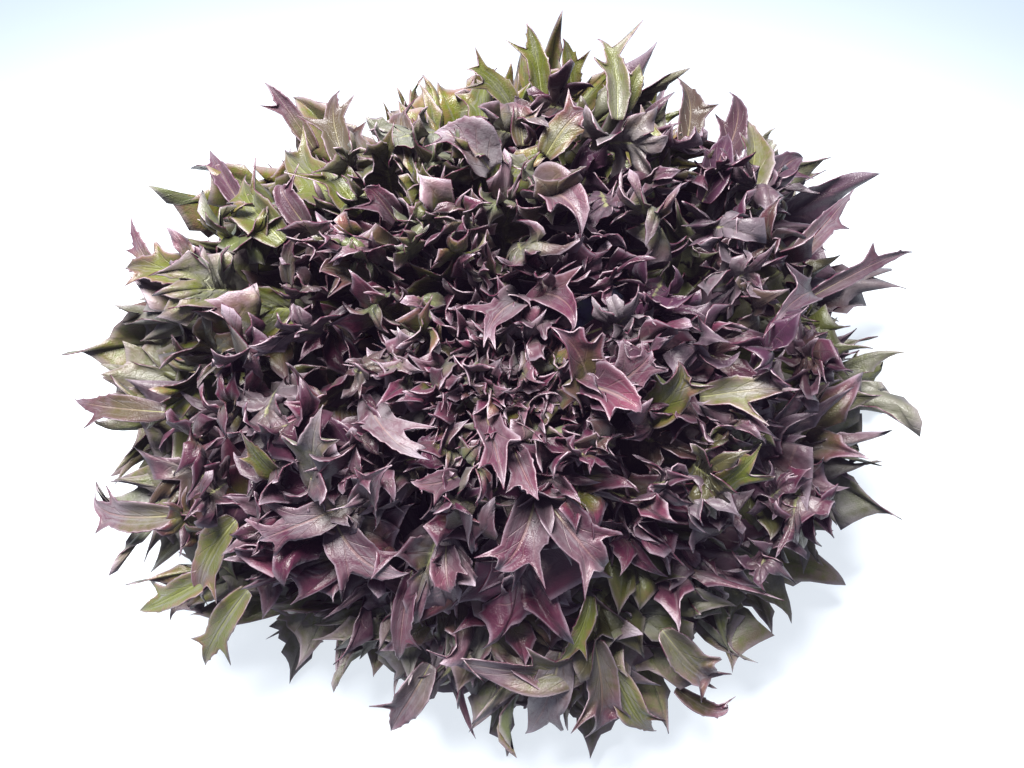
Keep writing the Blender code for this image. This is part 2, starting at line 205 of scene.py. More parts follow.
# The outer leaves
# Three whorls of eight leaves that lie out from the stump to the surface, one above the other.
# Each is a thin deeply cut blade: olive along its midrib, grey green below and dull burgundy
# towards its hooked lobes, with a fine pale rim.

STUMP_RADIUS = 0.0145
STUMP_HEIGHT = 0.0205
ROOT_GAP = 0.0009
HEAD_RADIUS = 0.104
CROWN_HEIGHT = 0.128
SHOULDER_HEIGHT = 0.052
DOME = CROWN_HEIGHT - SHOULDER_HEIGHT
OUTER_LOBE = 0.036
WHORLS = 3
LEAVES_IN_WHORL = 8
OUTER_SEED = 100
STOREY_BASE = (0.0016, 0.0068, 0.0112, 0.0165)
STOREY_RISE = (0.0000, 0.0130, 0.0290, 0.0460)
STOREY_BEND = 1.25
STOREY_PLAY = 2.0          # how far the frills stand out of their storey
WEDGE_PLAY = 1.25          # and out of their wedge
FLOOR_GAP = 0.0006
LONG_RADIUS = 0.108        # lobes that reach past this are drawn in
TIP_ROOM = 0.024
CROWN_LIMIT = 0.130        # and those that stand higher than this are drawn down
CROWN_ROOM = 0.015

REACH = (1.14, 1.13, 1.02, 0.90, 0.88, 1.02, 1.09, 1.17, 0.94, 1.00, 1.04, 1.15)
REACH_STEP = math.radians(30)
BACK_LIFT = 0.42
LEAN = 0.25

RIB_SHARE = 0.80
SHIFT = 0.02               # how far lobes on the two sides stand from opposite places
STALK_WIDTH = 0.24
LOBE_LENGTHS = (0.80, 1.45)
CUPS = (-0.40, 0.75)
CUP_SCALE = 0.16
LOBE_ANGLES = (70.0, 34.0)
ANGLE_SPREAD = math.radians(17)
SWERVE = (0.10, 0.60)
HOOK = 1.00                # how far the tips hook sideways
HORN_LENGTHS = (0.14, 0.42)   # beside the lobe's length
HORN_CHANCE = 0.28
HORN_BASE = 3.6            # half its width, in points of the edge
TOOTH_LENGTH = 0.07
TOOTH_BASE = 1.5
RUFFLE = 0.05

MIDRIB_POINTS = 41
STALK_LINES = 6
BLADE = 0.00030
OUTER_HABIT = SimpleNamespace(lobes=3, stalk=0.36, notch=(0.14, 0.34), width=(0.05, 0.12),
                              lift=(0.15, 0.50), droop=(-0.6, 1.2), twist=0.9, frill=0.6,
                              lines=25, rows=7)

OLIVE = (0.059, 0.063, 0.006, 1)
LEAF_GREEN = (0.061, 0.073, 0.007, 1)
BURGUNDY = (0.044, 0.007, 0.020, 1)
ROSE = (0.130, 0.030, 0.050, 1)
RIB_GREEN = (0.173, 0.180, 0.079, 1)
VEIN_PINK = (0.202, 0.122, 0.108, 1)
# a grey lilac for the leaves' grey bloom and for painted sheen
BLOOM_AND_SHEEN = (0.121, 0.113, 0.122, 1)
# The next three colours are a darker wine, painted navy shade for the deepest gaps and a deep green; the
# wine and the green also carry painted shade.
WINE_AND_SHADE = (0.024, 0.005, 0.013, 1)
NAVY_SHADE = (0.027, 0.009, 0.021, 1)
DEEP_GREEN_AND_SHADE = (0.032, 0.036, 0.006, 1)
GREY_GREEN = (0.058, 0.068, 0.026, 1)
MAUVE = (0.054, 0.020, 0.030, 1)
# a pale lilac for painted highlights on the lobes' tips and for the leaves' own pale margin
TIP_HIGHLIGHT_AND_PALE_EDGE = (0.23, 0.195, 0.235, 1)
RIM_PINK = (0.19, 0.14, 0.165, 1)
# how much painted shade a point deep among the leaves gets
DEEP_SHADE = 0.5
# painted glow: the leaves and the packed middle emit a faint purple light, though they are no lamp
SEEPING_LIGHT = (0.60, 0.38, 0.85, 1)    # the faint purple light that leaves pass on into gaps
SEEPING = 0.008
SHEEN_BLUE = (0.85, 0.88, 1.0, 1)
CLOUD_SCALE = 70
MOTTLE_SCALE = 420
GRAIN_SCALE = 2200
LEAF_RELIEF = 0.0004
BRANCH_STEP = 5.0          # how many side veins a lobe has on each side
BRANCH_SLANT = 1.6
STREAK_SCALE = (0.0, 1.5, 7.0)    # streaks run along a leaf and change across it
STREAK_DRIFT = (45.0, 45.0, 45.0)


def unit(vectors):
    return vectors / np.linalg.norm(vectors, axis=-1, keepdims=True)


def ease(x):
    x = np.clip(x, 0.0, 1.0)
    return x * x * (3.0 - 2.0 * x)


def blend(a, b, share):
    return a + (b - a) * share


def follow(line, run, places):
    """Reads a line of vectors at the given places along it."""
    return np.stack([np.interp(places, run, line[:, k]) for k in range(3)], -1)


def swing(first, second, turn):
    """Turns two ways that are square to each other, the first towards the second."""
    return first * np.cos(turn) + second * np.sin(turn), second * np.cos(turn) - first * np.sin(turn)


def storey_height(level, radius):
    """Height of the surface below whorl number level, or below the head for the last one."""
    return STOREY_BASE[level] + STOREY_RISE[level] * (radius / HEAD_RADIUS)**STOREY_BEND


def reach(angle):
    """The outline's radius round the head, beside its mean."""
    table = np.array(REACH)
    place = np.mod(angle / REACH_STEP, len(table))
    index = np.floor(place).astype(int)
    return blend(table[index % len(table)], table[(index + 1) % len(table)], ease(place - index))


def settle(points):
    """Gives the even head its outline, its high back and its crown turned to the front."""
    x, y, z = np.moveaxis(points, -1, 0)
    radius = np.hypot(x, y)
    beyond = np.maximum(radius - LONG_RADIUS, 0)
    trim = 1 - (beyond - TIP_ROOM * np.tanh(beyond / TIP_ROOM)) / radius
    x, y = x * trim, y * trim
    outward = ease((radius - 1.15 * STUMP_RADIUS) / (0.5 * HEAD_RADIUS))
    stretch = 1.0 + outward * (reach(np.arctan2(y, x)) - 1.0)
    x, y = x * stretch, y * stretch
    z = z * (1.0 + BACK_LIFT * outward * y / HEAD_RADIUS)
    above = np.maximum(z - CROWN_LIMIT, 0)
    z = z - above + CROWN_ROOM * np.tanh(above / CROWN_ROOM)
    rise = np.maximum(z - STUMP_HEIGHT, 0.0)
    z = FLOOR_GAP + 0.5 * (z - FLOOR_GAP + np.hypot(z - FLOOR_GAP, 0.0015))
    return np.stack([x, y - LEAN * rise**2 / (rise + STUMP_HEIGHT), z], -1)


def into_storey(points, level, azimuth):
    """Draws an outer leaf towards its storey and into its own wedge."""
    x, y, z = np.moveaxis(points, -1, 0)
    radius = np.hypot(x, y)
    turn = np.mod(np.arctan2(y, x) - azimuth + math.pi, math.tau) - math.pi
    wedge = WEDGE_PLAY * math.pi / LEAVES_IN_WHORL
    angle = azimuth + wedge * np.tanh(turn / wedge)
    low, high = storey_height(level, radius), storey_height(level + 1, radius)
    middle, room = (low + high) / 2, STOREY_PLAY * (high - low) / 2
    z = middle + room * np.tanh((z - middle) / room)
    return np.stack([radius * np.cos(angle), radius * np.sin(angle), z], -1)


class Rib:
    """A midrib: its line, and the ways along it, across the blade and out of its upper face."""

    def __init__(self, profile, azimuth, sway, roll):
        share = np.linspace(0.0, 1.0, len(profile))
        angle = azimuth + sway * share**2
        outward = np.stack([np.cos(angle), np.sin(angle), 0 * angle], 1)
        sideways = np.stack([-np.sin(angle), np.cos(angle), 0 * angle], 1)
        self.radius = profile[:, 0]
        self.points = outward * profile[:, :1] + np.array([0, 0, 1]) * profile[:, 1:]
        steps = np.linalg.norm(np.diff(self.points, axis=0), axis=1)
        self.run = np.concatenate([[0.0], np.cumsum(steps)])
        self.length = self.run[-1]
        self.along = unit(np.gradient(self.points, axis=0))
        sideways = unit(sideways - (sideways * self.along).sum(1, keepdims=True) * self.along)
        upper = np.cross(self.along, sideways)
        middle = len(profile) // 2
        if np.dot(upper[middle], np.array([0, 0, 1]) - outward[middle]) < 0:
            upper = -upper
        self.across, self.upper = swing(sideways, upper, (roll * share**1.5)[:, None])

    def at(self, share):
        """Point, along, across, upper and radius at a share of the length."""
        run = np.asarray(share) * self.length
        point = follow(self.points, self.run, run)
        along = unit(follow(self.along, self.run, run))
        across = unit(follow(self.across, self.run, run))
        upper = unit(follow(self.upper, self.run, run))
        return point, along, across, upper, np.interp(run, self.run, self.radius)


class Lobe:
    """A hooked lobe's size, its angle from the midrib, its bends and its horns."""

    def __init__(self, length, angle, habit, draws):
        even, normal, curl, draw = draws
        self.lines, self.rows = habit.lines, habit.rows
        self.length = length * blend(*LOBE_LENGTHS, even[0])
        self.notch = self.length * blend(*habit.notch, even[1])
        self.width = self.length * blend(*habit.width, even[2])
        self.cup = blend(*CUPS, even[3]) / math.sqrt(CUP_SCALE * self.length)
        self.angle = angle + curl * ANGLE_SPREAD * normal[0]
        self.lift = curl * (habit.lift[0] + habit.lift[1] * normal[1])
        self.droop = curl * (habit.droop[0] + habit.droop[1] * normal[2])
        self.swerve = curl * (SWERVE[0] + SWERVE[1] * normal[3])
        self.twist = curl * habit.twist * normal[4]
        self.hook = curl * HOOK * draw.normal()
        self.ruffle = RUFFLE * self.length * draw.normal()
        self.phase = math.tau * draw.random()
        self.horns = self.draw_horns(draw)

    def draw_horns(self, draw):
        """How far each point of the edge is drawn out into a horn."""
        horns = np.zeros(self.lines)
        middle = self.lines // 2
        point = np.arange(self.lines)
        for side in (-1, 1):
            place = int(draw.integers(1, 4))
            while place < 0.6 * middle:
                large = draw.random() < HORN_CHANCE
                size = blend(*HORN_LENGTHS, draw.random()**1.5) if large else TOOTH_LENGTH
                base = HORN_BASE if large else TOOTH_BASE
                away = np.abs(point - middle - side * (middle - place)) / base
                size = self.length * size * (1 - 0.95 * place / middle)
                horns += size * np.maximum(1 - away, 0)**1.8
                place += int(draw.integers(2, 5))
        return horns

    def outline(self, half_gap, x):
        """Distance out and half width, from one notch (-1) over the tip (0) to the other (1)."""
        share = 1.0 - np.abs(x)
        out = blend(self.notch, self.length, share)
        shape = 5.6 * share * (1 - share)**1.6
        half = half_gap * (1 - share)**3 + self.width * shape
        return out + 0.5 * self.horns, half + self.horns

    def axis(self, along, across, upper, wrap):
        """The lobe's curved middle line from the midrib, and its ways across and upward."""
        out = np.linspace(0.0, self.length * 1.3, 32)
        share, first = out / self.length, self.notch / self.length
        beyond = np.maximum(share - 0.5 * first, 0)
        pitch = self.lift * ease((share - 0.3 * first) * 2.4) + wrap * out + self.droop * beyond**1.6
        yaw = self.swerve * beyond**1.4 + self.hook * beyond**3
        level, side = swing(along, across, yaw[:, None])
        heading, top = swing(level, upper, pitch[:, None])
        steps = np.diff(out)[:, None] * (heading[1:] + heading[:-1]) / 2
        line = np.concatenate([np.zeros((1, 3)), np.cumsum(steps, 0)])
        return out, line, *swing(side, top, (self.twist * beyond**1.2)[:, None])


def lobe_sheet(lobe, origin, ways, base, half_gaps, wrap):
    """Points of one lobe in lines from the midrib to the edge, and each point's place on it."""
    gap_on_rib, gap_at_notch = half_gaps
    x = np.linspace(-1.0, 1.0, lobe.lines)
    v = np.linspace(0.0, 1.0, lobe.rows)[None, :]
    out, half = lobe.outline(gap_at_notch, x)
    distance = out[:, None] * v
    offset = blend((x * gap_on_rib)[:, None], (np.sign(x) * half)[:, None], v)
    run, line, side, top = lobe.axis(*ways, wrap)
    beyond = ease(distance / (lobe.notch * 1.4))
    fold = lobe.cup * beyond * np.abs(offset)**1.5
    fold = fold + lobe.ruffle * v * v * np.sin(2.5 * math.pi * x + lobe.phase)[:, None]
    points = origin + follow(line, run, distance)
    points = points + offset[..., None] * follow(side, run, distance)
    points = points + fold[..., None] * follow(top, run, distance)
    points = points + (base[:, None, :] - points[:, :1, :]) * ((1 - v)**2)[..., None]
    beside = np.clip(np.abs(offset) / np.maximum(half, 0.0005)[:, None], 0, 1)
    place = np.stack([v + 0 * distance, distance / lobe.length, beside], -1)
    return np.concatenate([points, place], -1)


def stalk_sheet(rib, side, width, habit):
    """Points of one side of the stalk, which widens into the first lobe."""
    share = np.linspace(0.0, habit.stalk, STALK_LINES)
    v = np.linspace(0.0, 1.0, habit.rows)[None, :]
    point, _, across, upper, _ = rib.at(share)
    half = width * (blend(0.55, 0.40, ease(share / 0.16)) + 0.9 * (share / habit.stalk)**3)
    offset = half[:, None] * v
    sheet = point[:, None, :] + side * offset[..., None] * across[:, None, :]
    sheet = sheet + (0.35 * offset * v)[..., None] * upper[:, None, :]
    place = np.stack([0.5 * v + 0 * offset, 0 * offset, 1 + 0 * offset], -1)
    return np.concatenate([sheet, place], -1)


def side_lobe_sheet(rib, side, rank, bounds, length, habit, draws):
    """Points of the lobe that grows from the midrib between two bounds."""
    middle, half = (bounds[0] + bounds[1]) / 2, (bounds[1] - bounds[0]) / 2
    swell = 0.66 + 0.40 * math.sin(math.pi * (0.15 + 0.62 * rank))
    lobe = Lobe(length * swell, math.radians(blend(*LOBE_ANGLES, rank)), habit, draws)
    origin, along, across, upper, radius = rib.at(middle)
    cos_angle, sin_angle = math.cos(lobe.angle), math.sin(lobe.angle)
    heading = cos_angle * along + sin_angle * side * across
    beside = sin_angle * along - cos_angle * side * across
    gap = half * rib.length * sin_angle
    base = rib.at(middle + np.linspace(-half, half, lobe.lines))[0]
    wrap = 0.6 / max(float(radius), 0.02)
    return lobe_sheet(lobe, origin, (heading, beside, upper), base, (gap, gap), wrap)


def end_lobe_sheet(rib, length, habit, draws):
    """Points of the lobe at the leaf's end, which fans out from the end of the midrib."""
    lobe = Lobe(length * 0.95, 0.0, habit, draws)
    lobe.notch = lobe.length * 0.20
    origin, along, across, upper, _ = rib.at(RIB_SHARE)
    base = np.repeat(origin[None, :], lobe.lines, 0)
    gaps = (0.0, 0.10 * lobe.length)
    return lobe_sheet(lobe, origin, (along, -across, upper), base, gaps, 0.0)


def join_sheets(sheets):
    """Joins the sheets line to line, drawing each pair of borders together."""
    for before, after in zip(sheets[:-1], sheets[1:]):
        border = (before[-1] + after[0]) / 2
        before += ease(np.linspace(-1, 1, len(before)))[:, None, None] * (border - before[-1])
        after += ease(np.linspace(1, -1, len(after)))[:, None, None] * (border - after[0])
    return np.concatenate([sheets[0]] + [sheet[1:] for sheet in sheets[1:]])


def leaf_sheet(rib, length, seed, habit):
    """Points of a whole leaf, round its edge from the root's left side to its right side."""
    draw = np.random.default_rng(seed)
    lobes = habit.lobes
    even, normal = draw.random((2 * lobes + 1, 4)), draw.normal(size=(2 * lobes + 1, 5))
    alternate = np.where(np.arange(2 * lobes + 1) % 2, habit.frill, -habit.frill)
    normal[:, 1] += alternate
    normal[:, 2] += alternate
    bounds = blend(habit.stalk, RIB_SHARE, np.linspace(0, 1, lobes + 1)**0.95)
    sides = []
    for side, first in ((1.0, 0), (-1.0, lobes)):
        shifted = bounds + SHIFT * draw.normal(size=lobes + 1)
        shifted[0], shifted[-1] = habit.stalk, RIB_SHARE
        sheets = [stalk_sheet(rib, side, STALK_WIDTH * length, habit)]
        for i in range(lobes):
            draws = (even[first + i], normal[first + i], 1.0, draw)
            between = (shifted[i], shifted[i + 1])
            sheets.append(side_lobe_sheet(rib, side, (i + 0.5) / lobes, between, length, habit, draws))
        sides.append(sheets)
    end = end_lobe_sheet(rib, length, habit, (even[-1], normal[-1], 0.5, draw))
    return join_sheets(sides[0] + [end] + [sheet[::-1] for sheet in sides[1][::-1]])


def near(angle, centre, spread):
    """1 where an angle is at the centre, falling away over the spread, all in degrees."""
    away = (math.degrees(angle) - centre + 180) % 360 - 180
    return math.exp(-(away / spread)**2)


def leaf_tint(azimuth, rank, draw):
    """How green, how bloomed with grey and painted sheen, and how dark a leaf is, by its place on the head.
    """
    outside = ease((rank - 0.35) / 0.4)
    green = 0.16 + 0.34 * draw.normal() + outside * (
        0.32 + 1.30 * near(azimuth, 118, 43) + 0.45 * near(azimuth, 212, 35)
        + 0.75 * near(azimuth, -12, 35) + 0.60 * near(azimuth, -85, 40))
    green += 0.35 * near(azimuth, 140, 35) * ease(3 * rank)
    bloom_and_sheen = 0.08 + 0.30 * draw.normal() + outside * (
        0.70 * near(azimuth, 205, 38) + 0.60 * near(azimuth, -85, 45) + 0.50 * near(azimuth, -10, 40))
    dark = 0.15 + 0.30 * draw.normal() + 0.35 * outside * near(azimuth, 172, 25) + ease(3 * rank) * (
        0.50 * near(azimuth, 45, 40) * (1 - 0.3 * outside) + 0.60 * near(azimuth, 5, 35)
        - 0.35 * near(azimuth, 140, 35))
    return [max(green, 0), bloom_and_sheen, dark]


def tinted(sheet, tint, depth):
    """The sheet with its tint at each point, with painted shade deep among the leaves."""
    tints = np.zeros(sheet.shape[:2] + (3,)) + np.clip(tint, -1, 1)
    tints[..., 2] = np.clip(tints[..., 2] + DEEP_SHADE * depth, 0, 1)
    return np.concatenate([sheet, tints], -1)


def leaf_finish(name, underside):
    finish = Finish(name)
    spot, tint = [finish.add("ShaderNodeAttribute", {"attribute_name": layer}, {}, "Vector")
                  for layer in ("spot", "tint")]
    edge, along, beside = spot.part(0), spot.part(1), spot.part(2)
    green, bloom_and_sheen, dark = tint.part(0), tint.part(1), tint.part(2)
    cloud = finish.noise(CLOUD_SCALE, 3)
    mottle = finish.noise(MOTTLE_SCALE, 3, 0.6)
    grain = finish.noise(GRAIN_SCALE, 2)
    drift = finish.vector("MULTIPLY", finish.place, STREAK_DRIFT)
    lengthwise = finish.vector("MULTIPLY_ADD", spot, STREAK_SCALE, drift)
    streak = finish.add("ShaderNodeTexNoise", {}, {"Vector": lengthwise, "Scale": 1.0, "Detail": 3.0})
    redness = along.ease(0.02, 0.70) * 0.8 + 1.3 * cloud - 0.30 - 1.0 * green
    if underside:
        colour = finish.mix(GREY_GREEN, MAUVE, redness.ease(0.1, 0.9))
    else:
        colour = finish.mix(OLIVE, BURGUNDY, redness.ease(0.05, 0.75))
        colour = finish.mix(colour, LEAF_GREEN, green.ease(0.5, 1.1) * (1 - along.ease(0.6, 1.0)) * 0.8)
        colour = finish.mix(colour, ROSE, (edge * 0.6 + mottle).ease(0.75, 1.25) * 0.45)
        colour = finish.mix(colour, ROSE, (0 - green).ease(0.0, 1.0) * 0.6)
    # painted sheen: where silvery highlights lie along the middle of each lobe
    painted_sheen = (1 - edge.ease(0.35, 0.85)) * (streak * 0.8 + cloud * 0.5).ease(0.58, 0.78)
    # painted highlight: how much each lobe's tip is brightened
    pale = along.ease(0.65, 1.05) * (0.30 + 0.5 * bloom_and_sheen) * (1 - 0.7 * dark)
    vein = (1 - beside.ease(0.03, 0.11)) * (1 - along.ease(0.55, 0.95))
    rhythm = along * BRANCH_STEP - beside * BRANCH_SLANT
    branch = 1 - rhythm.maths("PINGPONG", rhythm, 0.5).ease(0.02, 0.075)
    branch = branch * beside.ease(0.0, 0.15) * (1 - beside.ease(0.55, 0.95))
    rib = (1 - edge.ease(0.02, 0.10)) * (1 - along.ease(0.0, 0.3))
    # painted shade: wine darkening towards each lobe's base
    coats = [(WINE_AND_SHADE, (1 - along.ease(0.0, 0.55)) * (1 - green.ease(0.1, 0.7)) * 0.40),
             # the leaves' own darker wine margin
             (WINE_AND_SHADE, edge.ease(0.40, 0.85) * (1 - green.ease(0.1, 0.8)) * 0.30),
             # the leaves' own darker wine, deep green on green leaves, with painted shade where a point lies
             # deep
             (finish.mix(WINE_AND_SHADE, DEEP_GREEN_AND_SHADE, green.ease(0.4, 0.9)), dark.ease(0.0, 0.6) * 0.8),
             # painted shade: navy, deep green on green leaves, in the deepest gaps
             (finish.mix(NAVY_SHADE, DEEP_GREEN_AND_SHADE, green.ease(0.3, 0.9)), dark.ease(0.4, 1.0) * 0.85),
             # grey bloom, partly the leaves' own grey and partly painted sheen
             (BLOOM_AND_SHEEN, bloom_and_sheen * (mottle * 0.6 + cloud).ease(0.5, 1.0) * 0.7),
             # painted sheen: silvery streaks along the lobes
             (BLOOM_AND_SHEEN, (painted_sheen * 0.45 + streak.ease(0.50, 0.72) * 0.15) * (1 - dark)),
             # painted highlight on the lobes' tips
             (TIP_HIGHLIGHT_AND_PALE_EDGE, pale * (1 - green.ease(0.2, 1.2) * 0.8)),
             # the leaves' own pale margin
             (TIP_HIGHLIGHT_AND_PALE_EDGE, edge.ease(0.90, 1.0) * 0.4 * (1 - 0.6 * dark)),
             (finish.mix(VEIN_PINK, RIB_GREEN, green.ease(0.3, 0.8)), vein * 0.26 + branch * 0.12),
             (RIB_GREEN, rib * 0.6)]
    for paint, share in coats:
        colour = finish.mix(colour, paint, share)
    height = mottle * 0.6 + grain * 0.4 + (vein * 0.5 + branch * 0.35) * (1 if underside else -1)
    finish.fix({"Specular IOR Level": 0.30, "Sheen Weight": 0.03, "Sheen Roughness": 0.45,
                "Sheen Tint": SHEEN_BLUE, "Emission Color": SEEPING_LIGHT, "Emission Strength": SEEPING})
    rough = 0.24 + 0.12 * mottle + 0.10 * bloom_and_sheen + 0.14 * streak
    return finish.dress(colour, rough, height, LEAF_RELIEF)


def rim_finish():
    finish = Finish("leaf rim")
    colour = finish.mix(BURGUNDY, RIM_PINK, finish.noise(240, 2).ease(0.45, 0.62))
    return finish.dress(colour, 0.45, finish.noise(1500, 2), 0.0002)


LEAF_FINISHES = (leaf_finish("leaf upper side", False), leaf_finish("leaf underside", True), rim_finish())


def leaves(name, sheets):
    """A piece of one or several leaves, each a thin closed blade with its rim in a third material."""
    bm = bmesh.new()
    spot_layer = bm.verts.layers.float_vector.new("spot")
    tint_layer = bm.verts.layers.float_vector.new("tint")
    for sheet in sheets:
        lines, rows = sheet.shape[0] - 1, sheet.shape[1] - 1
        grid = bmesh.ops.create_grid(bm, x_segments=lines, y_segments=rows, size=1.0)
        for vertex in grid["verts"]:
            i = round((vertex.co.x + 1) / 2 * lines)
            j = round((vertex.co.y + 1) / 2 * rows)
            vertex.co = sheet[i, j, :3]
            vertex[spot_layer] = sheet[i, j, 3:6]
            vertex[tint_layer] = sheet[i, j, 6:]
        midrib = [vertex for vertex in grid["verts"] if vertex[spot_layer][0] == 0]
        bmesh.ops.remove_doubles(bm, verts=midrib, dist=SAME_POINT)
    piece = placed(name, bm, LEAF_FINISHES)
    blade = piece.modifiers.new("Blade", "SOLIDIFY")
    blade.thickness = BLADE
    blade.offset = 0.0
    blade.material_offset = 1
    blade.material_offset_rim = 2
    return piece


def outer_leaf(number):
    """One leaf of the outer whorls."""
    whorl, place = divmod(number, LEAVES_IN_WHORL)
    azimuth = math.tau * (place + whorl / WHORLS) / LEAVES_IN_WHORL
    draw = np.random.default_rng(OUTER_SEED + number)
    end = HEAD_RADIUS * (0.92 + 0.12 * draw.random())
    radius = np.linspace(STUMP_RADIUS + ROOT_GAP, end, MIDRIB_POINTS)
    height = (storey_height(whorl, radius) + storey_height(whorl + 1, radius)) / 2
    sway, roll = np.array([0.10, 0.25]) * draw.normal(size=2)
    rib = Rib(np.stack([radius, height], 1), azimuth, sway, roll)
    sheet = leaf_sheet(rib, OUTER_LOBE, (OUTER_SEED, number, 0), OUTER_HABIT)
    sheet[..., :3] = settle(into_storey(sheet[..., :3], whorl, azimuth))
    return tinted(sheet, leaf_tint(azimuth, 1.0, draw), 0)


for number in range(WHORLS * LEAVES_IN_WHORL):
    leaf = leaves("outer_leaf_blade_%02d" % (number + 1), [outer_leaf(number)])
    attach(leaf, "root")
    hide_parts("outer_leaf_%02d" % (number + 1))

# The inner leaves
# Deeply cut burgundy leaves that spiral up from the outer whorls to the heart, smaller and
# closer towards it. They are frillier than the outer leaves, with painted shade deep in the gaps.

INNER_LEAVES = 264
INNER_PIECES = 12
INNER_SEED = 500
GOLDEN_ANGLE = math.radians(137.508)
HEART_LOBE = 0.0095
INNER_LOBE = 0.025
STEEPEST = math.radians(100)
STOREY_SINK = 0.004        # how far the inner leaves may reach down into the top whorl
STOREY_SOFTNESS = 0.004
# the painted shade among the leaves is full at this depth
GLOOM_DEPTH = 0.22         # how deep the head is fully dark, beside its size
INNER_HABIT = SimpleNamespace(lobes=3, stalk=0.48, notch=(0.12, 0.36), width=(0.05, 0.13),
                              lift=(0.10, 0.50), droop=(-1.0, 1.0), twist=0.8, frill=0.9,
                              lines=17, rows=5)


def bezier(p0, p1, p2, p3, steps):
    t = np.linspace(0.0, 1.0, steps)[:, None]
    return (1 - t)**3 * p0 + 3 * (1 - t)**2 * t * p1 + 3 * (1 - t) * t * t * p2 + t**3 * p3


def inner_profile(rank, arch):
    """Radius and height along the midrib of an inner leaf, from 0 at the heart to 1 outside."""
    polar = math.radians(2 + 92 * rank**0.78)
    root = np.array([0.003 + 0.013 * rank, blend(0.074, 0.027, rank)])
    end = np.array([HEAD_RADIUS * math.sin(polar), SHOULDER_HEIGHT + DOME * math.cos(polar)])
    rise, span = math.atan2(*(end - root)), np.linalg.norm(end - root)
    arrive = math.radians(100 * rank**1.2) + arch
    leave = min(2 * rise - arrive, STEEPEST)
    out = root + 0.40 * span * np.array([math.sin(leave), math.cos(leave)])
    back = end - 0.34 * span * np.array([math.sin(arrive), math.cos(arrive)])
    return bezier(root, out, back, end, MIDRIB_POINTS)


def above_storeys(points):
    """Keeps the inner leaves above the top whorl."""
    floor = storey_height(WHORLS, np.hypot(points[..., 0], points[..., 1])) - STOREY_SINK
    above = points[..., 2] - floor
    lifted = floor + 0.5 * (above + np.sqrt(above * above + STOREY_SOFTNESS**2))
    return np.concatenate([points[..., :2], lifted[..., None]], -1)


def depth_in_head(points):
    """0 at the head's surface and 1 deep among the leaves; it sets the painted shade."""
    radius = np.hypot(points[..., 0], points[..., 1]) / HEAD_RADIUS
    height = np.maximum(points[..., 2] - SHOULDER_HEIGHT, 0) / DOME
    return ease((1.00 - np.hypot(radius, height)) / GLOOM_DEPTH)


def inner_leaf(number):
    """One leaf of the head."""
    rank = (number + 0.5) / INNER_LEAVES
    draw = np.random.default_rng(INNER_SEED + number)
    azimuth = number * GOLDEN_ANGLE + 0.12 * draw.normal()
    sway, roll = np.array([0.40, 0.75]) * draw.normal(size=2)
    arch = 0.35 * draw.normal() + ease(2 * rank - 0.2) * (
        0.40 * near(azimuth, -85, 50) - 0.60 * near(azimuth, 40, 45) - 0.25 * near(azimuth, 150, 40))
    profile = inner_profile(rank, arch) * (0.94 + 0.10 * draw.random())
    rib = Rib(profile, azimuth, sway, roll)
    coarse = 1 + 0.25 * near(azimuth, -85, 55) - 0.42 * near(azimuth, 40, 45) * ease(2 * rank)
    length = blend(HEART_LOBE, INNER_LOBE, rank**0.6) * coarse
    sheet = leaf_sheet(rib, length, (INNER_SEED, number), INNER_HABIT)
    # painted shade: the deeper a point lies in the head, the darker its tint
    depth = depth_in_head(sheet[..., :3])
    sheet[..., :3] = settle(above_storeys(sheet[..., :3]))
    return tinted(sheet, leaf_tint(azimuth, rank, draw), depth)


for group in range(INNER_PIECES):
    members = [inner_leaf(number) for number in range(group, INNER_LEAVES, INNER_PIECES)]
    frill = leaves("inner_leaves_%02d" % (group + 1), members)
    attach(frill, "root")
    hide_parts("head_leaves")

# The upright leaves
# Young leaves that stand on end between the larger ones, round the back and sides of the crown.
# From above only their frilled rims and the dark gaps between them show.

UPRIGHT_LEAVES = 86
UPRIGHT_SEED = 2100
UPRIGHT_SECTOR = (-35, 225)
UPRIGHT_RADII = (0.024, 0.088)
UPRIGHT_HEIGHT = 0.020
UPRIGHT_LOBES = (0.009, 0.014)
STANDING_POINTS = 21
UPRIGHT_HABIT = SimpleNamespace(lobes=3, stalk=0.40, notch=(0.20, 0.40), width=(0.07, 0.14),
                                lift=(0.30, 0.60), droop=(-1.0, 1.0), twist=1.2, frill=1.0,
                                lines=13, rows=4)


def dome_height(radius):
    """Height of the even head's outer surface."""
    return SHOULDER_HEIGHT + DOME * np.sqrt(1 - (radius / HEAD_RADIUS)**2)


def standing(radius, lean, shares, heights):
    """A midrib that stands up and leans out, by a share of its lean at each of four heights."""
    points = [np.array([radius + share * lean, height]) for share, height in zip(shares, heights)]
    return bezier(*points, STANDING_POINTS)


